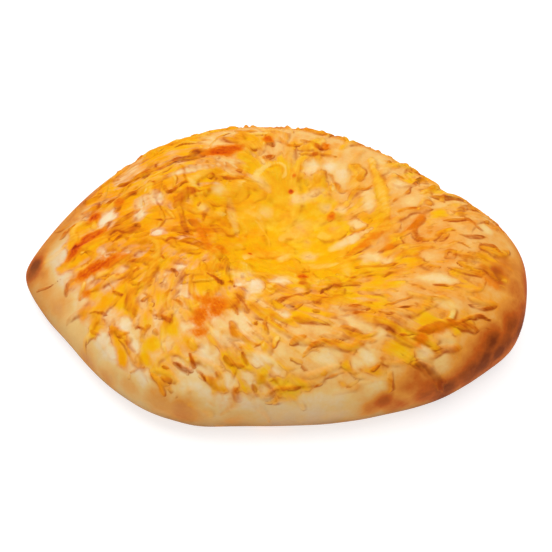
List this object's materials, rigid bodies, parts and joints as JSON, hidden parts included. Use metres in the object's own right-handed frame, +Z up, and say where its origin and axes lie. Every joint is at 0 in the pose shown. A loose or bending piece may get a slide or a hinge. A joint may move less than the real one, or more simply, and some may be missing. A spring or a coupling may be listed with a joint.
{
  "type": "cheese flatbread",
  "caption": "Boat-shaped flatbread with a puffed rim, a pointed tip and a sunken middle, lined with melted cheese and strewn with baked cheese shreds.",
  "frame": {"origin": "under the middle of the loaf, on the surface it rests on", "axes": "+X along the length towards the blunt end, with the pointed tip at -X; +Z up"},
  "size_m": [0.2002, 0.1502, 0.0399],
  "materials": {
    "crust": "baked dough, matte, cream where bare and brown at the ends",
    "cheese": "melted and browned cheese with a soft sheen"
  },
  "bodies": {
    "root": {"dough": "crust", "melted_cheese": "cheese"}
  },
  "joints": []
}
